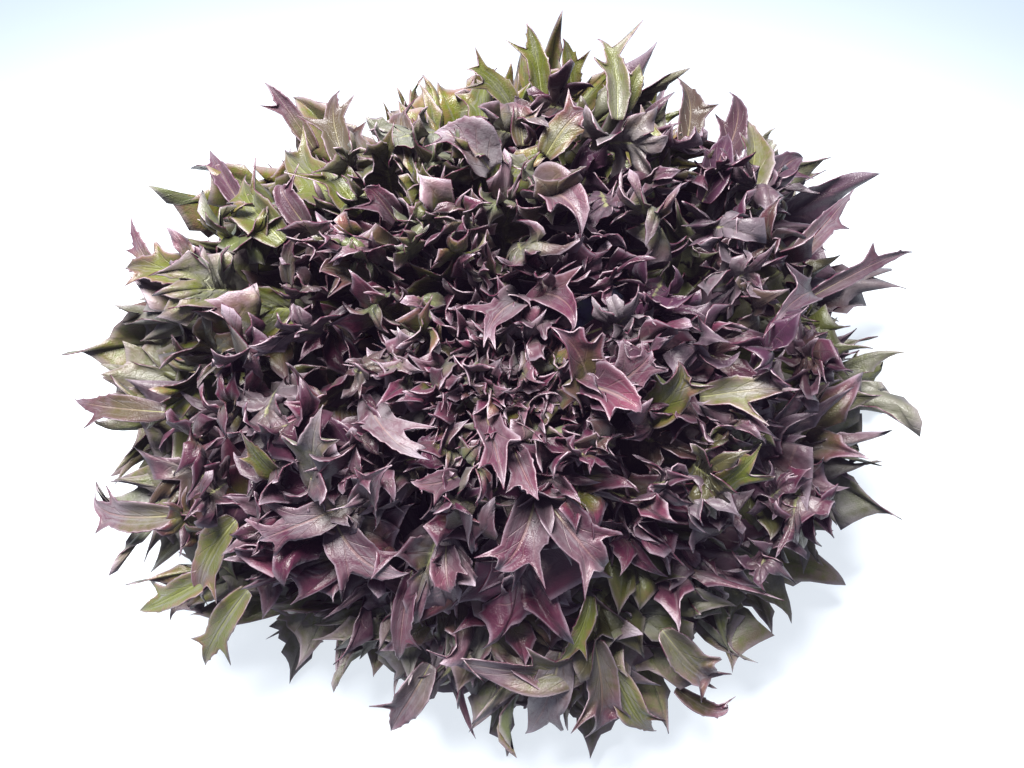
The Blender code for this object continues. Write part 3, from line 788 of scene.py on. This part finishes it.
def upright_leaf(number):
    """One small leaf that stands up through the surface of the head."""
    share = (number + 0.5) / UPRIGHT_LEAVES
    draw = np.random.default_rng(UPRIGHT_SEED + number)
    azimuth = math.radians(blend(*UPRIGHT_SECTOR, (number * GOLDEN_ANGLE / math.tau % 1)**1.15))
    radius = blend(*UPRIGHT_RADII, share**0.7)
    dome = dome_height(radius)
    lean = 0.005 * draw.normal()
    foot, top = dome - UPRIGHT_HEIGHT, dome + blend(-0.003, 0.005, draw.random())
    heights = (foot, foot + 0.4 * UPRIGHT_HEIGHT, top - 0.3 * UPRIGHT_HEIGHT, top)
    profile = standing(radius, lean, (0, 0, 0.6, 1), heights)
    rib = Rib(profile, azimuth, 0.1 * draw.normal(), 1.5 * draw.normal())
    length = blend(*UPRIGHT_LOBES, draw.random())
    sheet = leaf_sheet(rib, length, (UPRIGHT_SEED, number), UPRIGHT_HABIT)
    # painted shade, weaker than on the inner leaves, deep in the head
    depth = 0.6 * depth_in_head(sheet[..., :3])
    sheet[..., :3] = settle(sheet[..., :3])
    green = 0.15 + 0.25 * draw.normal() + 0.9 * near(azimuth, 122, 50) * ease(2 * share)
    bloom_and_sheen = 0.2 + 0.3 * draw.normal()
    dark = 0.35 + 0.25 * draw.normal() + 0.35 * near(azimuth, 25, 50)
    return tinted(sheet, [max(green, 0), bloom_and_sheen, dark], depth)


members = [upright_leaf(number) for number in range(UPRIGHT_LEAVES)]
upright = leaves("upright_leaves", members)
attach(upright, "root")
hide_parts("head_leaves")

# The arching leaves
# Inner leaves that are longer than their neighbours. They stand up out of the head or arch over
# it, each with a few horns along its edge, and show their rosy, bloomed or greener sides; the
# bloom is partly painted sheen.

MM = 0.001
HEAD_MIDDLE = np.array([0.0, -0.01, 0.045])
TOP_LIMIT = 0.136          # no leaf's tip stands higher than this
PHOTO_WIDTH, PHOTO_HEIGHT = 1024, 768
CAMERA_TARGET = Vector((0.0055, -0.006, 0.055))
CAMERA_ELEVATION = 79
CAMERA_DISTANCE = 0.494
CAMERA_LENS = 55
SENSOR_WIDTH = 36          # in millimetres, as the lens is
ZOOM = CAMERA_LENS / SENSOR_WIDTH * PHOTO_WIDTH
CAMERA_RISE = math.radians(CAMERA_ELEVATION)
BACK = np.array([0, -math.cos(CAMERA_RISE), math.sin(CAMERA_RISE)])
UP = np.array([0, math.sin(CAMERA_RISE), math.cos(CAMERA_RISE)])
EYE = np.array(CAMERA_TARGET) + CAMERA_DISTANCE * BACK
SURFACE_RINGS = 160
SURFACE_SPOKES = 721
ARCHING_SEED = 1300
ARCHING_LINES = 31
ARCHING_ROWS = 9
ARCHING_HORN_BASE = 0.075      # half a horn's width, as a share of the leaf
ARCHING_SWEEP = 1.0            # how far a horn leans towards the tip
ARCHING_TOOTH = 0.0006
ARCHING_POINT = 0.0001
ARCHING_TURN = 0.35
ARCHING_HOOK = 0.12
ARCHING_CUP = (0.1, 1.0)
ARCHING_RUFFLE = 0.35
HORN_GROWTH = 1.3              # every horn is this much longer than its row says

# Each leaf's root and tip (its pixel across and down in the photo, how far it lies out of the
# head's surface, and its own height where it lies past the edge), the height of its arch, its
# twist in degrees, its half width, its horns (place along it, side, length) and its tint
# (green, grey bloom with painted sheen, dark), in millimetres.
ARCHING_LEAVES = (
    ((590, 402, -17), (563, 318, 7), 6, 15, 8, ((0.55, -1, 4), (0.35, 1, 4), (0.75, -1, 2)), (0.35, 0.1, 0)),
    ((583, 384, -11), (642, 412, 9), 8, -10, 7, ((0.5, -1, 3),), (-0.7, 0.1, 0)),
    ((604, 392, -13), (652, 350, 7), 7, 0, 6.5, ((0.45, 1, 5), (0.65, -1, 4), (0.8, 1, 2)),
     (-0.25, 0.55, 0)),
    ((523, 302, -17), (472, 339, 8), 9, 0, 5.5, ((0.55, -1, 6), (0.8, 1, 3)), (0, 0.5, 0)),
    ((528, 296, -17), (592, 320, 9), 9, 10, 5.5, ((0.4, 1, 4),), (0.1, 0.35, 0.1)),
    ((368, 396, -15), (419, 470, 9), 7, 0, 6, ((0.5, 1, 6), (0.72, 1, 3)), (-0.3, 0.95, 0)),
    ((690, 502, -17), (748, 443, 8), 6, 0, 5, ((0.55, -1, 7), (0.75, 1, 3)), (1, 0.1, 0)),
    ((700, 397, -15), (786, 380, 8), 7, 0, 5, ((0.3, -1, 6), (0.55, 1, 5)), (0.6, 0.5, 0)),
    ((648, 416, -15), (690, 361, 7), 5, 0, 7, ((0.45, 1, 4), (0.6, -1, 4)), (0.75, 0.05, 0)),
    ((812, 292, -17), (753, 308, 8), 6, 0, 4.5, ((0.4, -1, 5),), (0.1, 0.3, 0.3)),
    ((535, 498, -15), (499, 573, 9), 8, 0, 8, ((0.5, 1, 5), (0.6, -1, 4)), (-0.15, 0.45, 0)),
    ((545, 498, -15), (604, 568, 9), 9, 0, 7.5, ((0.45, 1, 6), (0.6, -1, 5)), (-0.3, 0.5, 0)),
    ((484, 408, -15), (509, 488, 8), 6, 0, 5, ((0.45, 1, 4), (0.6, -1, 3)), (-0.15, 0.35, 0)),
    ((512, 446, -15), (537, 501, 8), 6, 0, 4.5, ((0.5, -1, 3),), (-0.25, 0.3, 0)),
    ((322, 486, -15), (322, 404, 7), 5, 0, 6.5, ((0.45, 1, 5), (0.6, -1, 4)), (0.6, 1, 0)),
    ((282, 478, -13), (258, 432, 7), 4, 0, 4, ((0.5, 1, 2),), (1, 0.1, 0)),
    ((372, 508, -15), (376, 455, 8), 5, 0, 5.5, ((0.6, 1, 2),), (0.3, 0.2, 0)),
    ((458, 476, -13), (410, 485, 8), 5, 0, 3.8, ((0.4, 1, 3),), (-0.65, 0.3, 0)),
    ((446, 546, -17), (454, 590, 9), 5, 0, 5.5, ((0.35, 1, 3),), (-0.8, 0.2, 0)),
    ((350, 503, -15), (256, 537, 9), 6, 0, 6, ((0.45, -1, 8), (0.65, 1, 4), (0.75, -1, 6)), (0.1, 0.55, 0)),
    ((335, 520, -15), (407, 583, 8), 6, 0, 8, ((0.4, -1, 5), (0.6, 1, 4)), (-0.25, 0.5, 0)),
    ((236, 520, -17), (200, 596, 8), 6, 20, 7, ((0.5, 1, 4),), (0.65, 0.25, 0)),
    ((592, 668, -5), (424, 655, 15), 4, 0, 7.6, ((0.3, -1, 5),), (0.45, 0.55, 0)),
    ((560, 652, -13), (521, 728, 10), 7, 0, 8, ((0.55, 1, 5),), (0.15, 1, 0)),
    ((594, 640, -15), (601, 729, 10), 7, 0, 6.5, ((0.4, -1, 6), (0.55, 1, 5)), (0.35, 0.4, 0)),
    ((612, 668, -15), (645, 733, 10), 6, 0, 6, ((0.5, 1, 3),), (0.8, 0.2, 0)),
    ((590, 596, -13), (553, 654, 12), 6, 0, 3.4, ((0.5, 1, 3),), (1, 0.05, 0)),
    ((662, 630, -15), (707, 686, 8), 6, 0, 6.5, ((0.45, 1, 4), (0.6, -1, 3)), (0.55, 0.4, 0)),
    ((676, 688, -13), (731, 708, 0, 34), 6, 0, 3.2, ((0.6, 1, 3),), (0.3, 0.5, 0)),
    ((430, 664, -15), (385, 722, 10), 6, 0, 6, ((0.5, -1, 4),), (0.3, 0.5, 0.1)),
    ((648, 200, -27), (638, 105, 0, 113), 3, 0, 7.5, ((0.35, 1, 5), (0.5, -1, 3)), (0.85, 0, 0.1)),
    ((484, 146, -17), (477, 75, 8), 3, 0, 4.6, ((0.3, -1, 5), (0.4, 1, 3)), (1, 0, 0.25)),
    ((542, 100, -13), (528, 22, 0, 118), 3, 0, 4, ((0.5, 1, 4),), (1, 0, 0.3)),
    ((571, 98, -17), (564, 38, 0, 118), 3, 0, 3.6, ((0.4, -1, 3),), (0.8, 0, 0.3)),
    ((512, 110, -13), (467, 67, 0, 122), 4, 0, 4.6, ((0.5, 1, 4), (0.7, -1, 3)), (0.9, 0.1, 0.25)),
    ((617, 120, -19), (612, 35, 0, 112), 3, 0, 4.2, ((0.7, -1, 7), (0.45, 1, 4)), (0.8, 0.4, 0.25)),
    ((624, 112, -22), (640, 64, 0, 112), 3, 0, 3.4, ((0.5, 1, 4),), (0.8, 0.2, 0.25)),
    ((490, 170, -5), (434, 134, 12), 5, 0, 8, ((0.7, 1, 3),), (0, 1, 0)),
    ((538, 196, -9), (589, 226, 12), 9, -10, 7.5, ((0.45, -1, 4),), (0.2, 0.35, 0)),
    ((546, 156, -15), (587, 108, 3), 5, 0, 5.5, ((0.45, -1, 4), (0.6, 1, 3)), (0.55, 0.1, 0)),
    ((523, 146, -15), (513, 102, 8), 3, 0, 4.5, ((0.4, -1, 3),), (0.5, 0.05, 0.1)),
    ((165, 412, -13), (73, 402, 0, 66), 5, 0, 5, ((0.5, 1, 3),), (0.45, 0.3, 0.2)),
    ((175, 515, -13), (87, 513, 0, 48), 5, 0, 6, ((0.5, -1, 4), (0.6, 1, 3)), (0.4, 0.55, 0)),
    ((170, 290, -13), (131, 218, 0, 84), 4, 0, 3.2, ((0.5, 1, 2),), (0.4, 0.35, 0)),
    ((215, 282, -13), (126, 267, 0, 90), 5, 0, 6, ((0.45, -1, 4), (0.6, 1, 3)), (0.75, 0.2, 0)),
    ((805, 300, -21), (910, 238, 0, 68), 4, 0, 3, ((0.5, 1, 3),), (0.3, 0.3, 0.35)),
    ((790, 262, -21), (853, 188, 0, 76), 2, 0, 4.2, ((0.5, -1, 3),), (0.1, 0.35, 0)),
    ((248, 590, -13), (204, 664, 0, 40), 5, 0, 5.5, ((0.5, 1, 4), (0.6, -1, 3)), (0.8, 0.25, 0)),
    ((218, 572, -13), (139, 614, 0, 42), 5, 0, 5, ((0.5, -1, 4),), (0.9, 0.2, 0)),
    ((412, 570, -15), (409, 656, 10), 9, 0, 4, ((0.5, 1, 3),), (-0.7, 0.25, 0)),
    ((315, 150, -13), (270, 80, 0, 98), 4, 0, 3.4, ((0.5, 1, 3),), (0.3, 0.3, 0)),
    ((352, 180, -13), (325, 93, 0, 104), 4, 0, 5, ((0.5, 1, 5), (0.6, -1, 4)), (0.6, 0.1, 0.5)),
    ((380, 186, -15), (342, 130, 6), 5, 0, 5, ((0.6, -1, 3),), (0.6, 0.1, 0.3)),
    ((357, 214, -17), (281, 165, 0), 6, 0, 8, ((0.4, 1, 6), (0.6, -1, 6)), (0.9, 0.1, 0.25)),
    ((362, 212, -13), (322, 168, 6), 5, 0, 6.5, ((0.5, 1, 6), (0.7, -1, 4)), (1, 0, 0.25)),
    ((284, 242, -15), (238, 190, 2), 5, 0, 7, ((0.5, -1, 5), (0.7, 1, 3)), (0.9, 0.1, 0.25)),
    ((247, 213, -13), (214, 150, 5), 4, 10, 3.5, ((0.6, 1, 3),), (-0.1, 0.2, 0.15)),
    ((306, 226, -13), (285, 187, 8), 6, 0, 4.5, ((0.6, -1, 4),), (0.1, 0.2, 0.15)),
    ((397, 222, -13), (367, 184, 8), 5, 0, 4, ((0.4, 1, 4),), (-0.5, 0.3, 0)),
    ((290, 284, -13), (298, 232, 9), 3, 0, 3.2, ((0.5, -1, 2),), (0.45, 0.3, 0.1)),
    ((398, 246, -13), (343, 267, 8), 6, 0, 4.5, ((0.5, -1, 6), (0.7, -1, 4)), (-0.15, 0.7, 0)),
    ((342, 268, -12), (302, 245, 7), 5, 0, 2.8, ((0.5, 1, 3),), (-0.6, 0.2, 0)),
    ((374, 284, -15), (317, 264, 2), 5, 0, 6.5, ((0.5, 1, 5), (0.6, -1, 4)), (0.6, 0, 0.3)),
    ((410, 166, -15), (400, 114, 4), 4, 0, 5, ((0.5, 1, 4), (0.7, -1, 3)), (0.6, 0.2, 0.3)),
    ((714, 179, 0, 99), (752, 91, 0, 87), 3, 0, 5, ((0.4, 1, 3),), (0.45, 0, 0.9)),
    ((740, 208, 0, 109), (762, 118, 0, 91), 3, 0, 6, ((0.45, 1, 3),), (0.7, 0.6, 0.25)),
    ((702, 202, 0, 118), (717, 137, 0, 107), 5, 0, 5.5, ((0.45, 1, 4),), (0.3, 0, 0.7)),
    ((750, 198, 0, 96), (798, 148, 0, 84), 4, 0, 6, ((0.5, -1, 4),), (0.2, 0.2, 0.5)),
    ((684, 153, 0, 102), (691, 78, 0, 90), 3, 0, 5, ((0.4, -1, 3),), (0.55, 0, 0.8)),
)


def head_surface():
    """Points of the head's outer surface, in rings from its top to its edge."""
    radius = np.linspace(0.0005, HEAD_RADIUS, SURFACE_RINGS)[:, None]
    angle = np.linspace(0.0, math.tau, SURFACE_SPOKES)[None, :]
    height = dome_height(radius) + 0 * angle
    return settle(np.stack([radius * np.cos(angle), radius * np.sin(angle), height], -1))


def photo_pixels(points):
    """Where points show in the photo, in pixels across and down."""
    away = points - EYE
    scale = -ZOOM / (away @ BACK)
    return np.stack([PHOTO_WIDTH / 2 + scale * away[..., 0], PHOTO_HEIGHT / 2 - scale * (away @ UP)], -1)


HEAD_SURFACE = head_surface()
HEAD_PIXELS = photo_pixels(HEAD_SURFACE)


def photo_place(across, down, lift, height=None):
    """The point at a pixel of the photo that lies this far out of the head, or at this height."""
    if height is None:
        away = np.linalg.norm(HEAD_PIXELS - np.array([across, down]), axis=-1)
        point = HEAD_SURFACE[np.unravel_index(away.argmin(), away.shape)]
        height = point[2] / MM + lift * unit(point - HEAD_MIDDLE)[2]
    sight = (PHOTO_HEIGHT / 2 - down) / ZOOM * UP - BACK
    sight[0] = (across - PHOTO_WIDTH / 2) / ZOOM
    return EYE + sight * (height * MM - EYE[2]) / sight[2]


def arching_leaf(number):
    """One leaf from its root to its tip, in lines across it from edge to edge."""
    root, tip, arch, twist, half_width, horns, tint = ARCHING_LEAVES[number]
    draw = np.random.default_rng(ARCHING_SEED + number)
    root, tip = photo_place(*root), photo_place(*tip)
    tip[2] = min(tip[2], TOP_LIMIT)
    rise, step = arch * MM * unit(np.array([root, tip]) - HEAD_MIDDLE), tip - root
    line = bezier(root, root + 0.35 * step + rise[0], tip - 0.30 * step + rise[1], tip, ARCHING_LINES)
    share = np.linspace(0.0, 1.0, ARCHING_LINES)[:, None]
    v = np.linspace(-1.0, 1.0, ARCHING_ROWS)[None, :]
    along = unit(np.gradient(line, axis=0))
    face = unit(0.5 * unit(line - HEAD_MIDDLE) + np.array([0, 0, 1]))
    side = unit(np.cross(face, along))
    top = np.cross(along, side)
    across, upper = swing(side, top, (math.radians(twist) + ARCHING_TURN * draw.normal()) * share)
    half = half_width * MM * 2.9 * (share + 0.08)**0.8 * (1 - share)**1.6 + ARCHING_POINT
    drawn = np.zeros((ARCHING_LINES, ARCHING_ROWS))
    for place in np.arange(0.12, 0.85, 0.075):
        peak = np.maximum(1 - np.abs(share - place - 0.02 * draw.normal()) / 0.03, 0)
        drawn += ARCHING_TOOTH * draw.random() * peak * np.maximum(draw.choice((-1, 1)) * v, 0)**2
    for place, way, length in horns:
        peak = np.maximum(1 - np.abs(share - place) / ARCHING_HORN_BASE, 0)**1.8
        drawn += HORN_GROWTH * length * MM * peak * np.maximum(way * v, 0)**2
    offset = half * v + np.sign(v) * drawn
    wave = np.sin(9 * share + math.tau * draw.random())
    fold = half * v * v * (blend(*ARCHING_CUP, draw.random()) + ARCHING_RUFFLE * wave)
    hooked = ARCHING_HOOK * draw.normal() * np.linalg.norm(step) * share**3
    points = line[:, None, :] + (offset + hooked)[..., None] * across[:, None, :]
    points = points + (ARCHING_SWEEP * drawn)[..., None] * along[:, None, :]
    points = points + fold[..., None] * upper[:, None, :]
    place = np.stack([np.abs(v) + 0 * share, share + 0 * v, np.abs(v) + 0 * share], -1)
    # painted shade towards each leaf's root, less on green leaves
    return tinted(np.concatenate([points, place], -1), tint, (1 - 0.7 * tint[0]) * (1 - share)**1.5)


members = [arching_leaf(number) for number in range(len(ARCHING_LEAVES))]
arching = leaves("arching_leaves", members)
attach(arching, "root")
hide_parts("head_leaves")

# The heart
# The smallest leaves, crisp and curled, that stand together in the middle of the crown and
# close over the growing point. They are browner and paler than the leaves round them, with
# more grey bloom and painted sheen.

HEART_LEAVES = 30
HEART_SEED = 900
HEART_HABIT = SimpleNamespace(lobes=3, stalk=0.40, notch=(0.20, 0.40), width=(0.07, 0.15),
                              lift=(0.50, 0.60), droop=(-1.0, 1.0), twist=1.2, frill=1.0,
                              lines=15, rows=4)
HEART_RADIUS = 0.017
HEART_FOOT = 0.090
HEART_TOP = 0.126
HEART_LOBES = (0.009, 0.013)


def heart_leaf(number):
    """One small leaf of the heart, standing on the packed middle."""
    rank = (number + 0.5) / HEART_LEAVES
    draw = np.random.default_rng(HEART_SEED + number)
    azimuth = number * GOLDEN_ANGLE
    radius = HEART_RADIUS * rank**0.6
    top = HEART_TOP - 0.008 * rank - 0.006 * draw.random()
    lean = 0.010 * rank - 0.004 + 0.004 * draw.normal()
    profile = standing(radius, lean, (0, 0.3, 0.8, 1), (HEART_FOOT, HEART_FOOT + 0.012, top - 0.006, top))
    profile[:, 0] = np.maximum(profile[:, 0], 0.0005)
    rib = Rib(profile, azimuth, 0.5 * draw.normal(), 0.8 * draw.normal())
    length = blend(*HEART_LOBES, rank) * blend(0.8, 1.2, draw.random())
    sheet = leaf_sheet(rib, length, (HEART_SEED, number), HEART_HABIT)
    sheet[..., :3] = settle(sheet[..., :3])
    return tinted(sheet, [0.35 + 0.2 * draw.normal(), 0.5 + 0.3 * draw.normal(), 0.0], 0)


members = [heart_leaf(number) for number in range(HEART_LEAVES)]
heart = leaves("heart_leaves", members)
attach(heart, "root")
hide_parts("head_leaves")

# The packed middle
# The closed heart of the head, where the leaves are folded so tightly that only dark gaps
# between them show. Its near-black colour is painted shade, with a faint painted glow. The
# stalks of all the inner leaves grow out of it.

CORE_OUTLINE = ((0.0, .0212), (.0145, .0220), (.030, .0290), (.044, .0370), (.050, .046),
                (.050, .056), (.044, .066), (.032, .076), (.016, .083), (0.0, .085))
CORE_SIDES = 64
# painted shade: the near-black navy and dark green of the packed middle stand in for shade in the gaps
CORE_SHADE_NAVY = (0.012, 0.012, 0.034, 1)
CORE_GREEN = (0.013, 0.020, 0.016, 1)
CORE_RELIEF = 0.002


def core_finish():
    finish = Finish("packed middle")
    # a faint painted glow, as on the leaves
    finish.fix({"Specular IOR Level": 0.1, "Emission Color": SEEPING_LIGHT, "Emission Strength": SEEPING})
    fold = finish.noise(160, 4)
    return finish.dress(finish.mix(CORE_SHADE_NAVY, CORE_GREEN, fold.ease(0.4, 0.7)), 0.9, fold, CORE_RELIEF)


def packed_middle(name):
    bm = turned(CORE_OUTLINE, CORE_SIDES)
    for vertex in bm.verts:
        vertex.co = settle(np.array(vertex.co))
    return placed(name, bm, [core_finish()])


middle = packed_middle("packed_middle")
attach(middle, "root")
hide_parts("head_leaves")

# The floor, the light and the camera
# A seamless white surface with a painted pool of light: white round the head, a darker pale
# blue further off, and a painted glow that lifts its shadows. A soft lamp shines from above
# and behind, under an even cool sky, and the camera looks down steeply from the front.

FLOOR_SIZE = 6.0
# painted light: the floor is white round the head and darker pale blue further off, and glows
FLOOR_WHITE = (0.30, 0.32, 0.34, 1)
FALLOFF_BLUE = (0.030, 0.036, 0.042, 1)
GLOW_WHITE = (0.66, 0.704, 0.748, 1)
GLOW_BLUE = (0.56, 0.66, 0.80, 1)
FLOOR_OVAL = (0.62, 1.0, 0.0)     # the white pool's shape, and the way to its middle
FLOOR_SHIFT = (0.0, 0.06, 0.0)
FLOOR_FADE = (0.08, 0.25)         # where it starts and ends turning blue
SKY = (0.72, 0.76, 0.95, 1)
SKY_STRENGTH = 0.58
LAMP_WHITE = (1.0, 0.985, 0.95)
LAMP_POWER = 74
LAMP_SIZE = 0.40
LAMP_AZIMUTH = 205
LAMP_ELEVATION = 66
LAMP_DISTANCE = 1.1
LAMP_TARGET = Vector((0, 0, 0.05))


def floor(name):
    bm = bmesh.new()
    bmesh.ops.create_grid(bm, x_segments=1, y_segments=1, size=FLOOR_SIZE / 2)
    white = Finish("white surface")
    # painted glow: the floor emits light though it is no lamp, lifting its shadows
    white.fix({"Specular IOR Level": 0.05, "Emission Strength": 1})
    # painted pool of light: white round the head, fading to darker pale blue further off
    away = white.vector("MULTIPLY_ADD", white.place, FLOOR_OVAL, FLOOR_SHIFT)
    far = white.vector("LENGTH", away, output="Value").ease(*FLOOR_FADE)
    colour = white.mix(FLOOR_WHITE, FALLOFF_BLUE, far)
    white.feed(white.surface.inputs["Emission Color"], white.mix(GLOW_WHITE, GLOW_BLUE, far))
    return placed(name, bm, [white.dress(colour, 0.9, white.noise(300), 0.00002)])


floor("white_floor")


def look_from(thing, azimuth, elevation, distance, target):
    """Puts a camera or lamp at a distance from its target and points it there, in degrees."""
    turn, rise = math.radians(azimuth), math.radians(elevation)
    direction = Vector((math.sin(turn) * math.cos(rise), -math.cos(turn) * math.cos(rise), math.sin(rise)))
    thing.location = target + direction * distance
    thing.rotation_euler = direction.to_track_quat("Z", "Y").to_euler()


lamp = bpy.data.objects.new("soft_box", bpy.data.lights.new("soft_box", "AREA"))
lamp.data.energy = LAMP_POWER
lamp.data.size = LAMP_SIZE
lamp.data.color = LAMP_WHITE
bpy.context.scene.collection.objects.link(lamp)
look_from(lamp, LAMP_AZIMUTH, LAMP_ELEVATION, LAMP_DISTANCE, LAMP_TARGET)

world = bpy.data.worlds.new("daylight")
world.use_nodes = True
sky = world.node_tree.nodes["Background"].inputs
sky["Color"].default_value = SKY
sky["Strength"].default_value = SKY_STRENGTH
bpy.context.scene.world = world

camera = bpy.data.objects.new("camera", bpy.data.cameras.new("camera"))
camera.data.lens = CAMERA_LENS
bpy.context.scene.collection.objects.link(camera)
look_from(camera, 0, CAMERA_ELEVATION, CAMERA_DISTANCE, CAMERA_TARGET)
bpy.context.scene.camera = camera
bpy.context.scene.view_settings.view_transform = "Standard"
